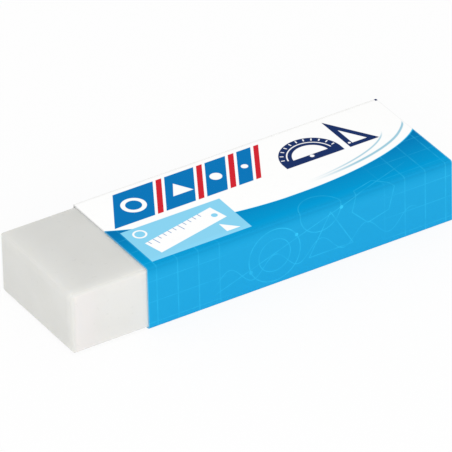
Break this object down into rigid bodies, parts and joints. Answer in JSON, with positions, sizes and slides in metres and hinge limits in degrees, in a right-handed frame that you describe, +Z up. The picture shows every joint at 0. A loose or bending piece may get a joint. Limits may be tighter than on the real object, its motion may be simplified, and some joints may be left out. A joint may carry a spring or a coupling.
{
  "type": "rubber eraser",
  "caption": "White vinyl eraser block in a printed card sleeve that slides along it and pulls off the far end, for rubbing out pencil.",
  "frame": {"origin": "middle of the footprint, on the surface that the eraser lies on", "axes": "+X along the block from the bare rubbing end towards the sleeved end, +Z up, -Y is the front long side"},
  "size_m": [0.065, 0.021, 0.0105],
  "materials": {
    "vinyl": "satin pale grey-white vinyl with soft edges",
    "printed_card": "semi-gloss coated card, sky blue below a white field"
  },
  "bodies": {
    "block": {"eraser_block": "vinyl"},
    "sleeve": {"card_sleeve": "printed_card"}
  },
  "joints": [
    {"name": "sleeve_slide", "type": "slide", "parent": "block", "child": "sleeve", "axis": [1, 0, 0], "range_m": [-0.0126, 0.054]}
  ]
}
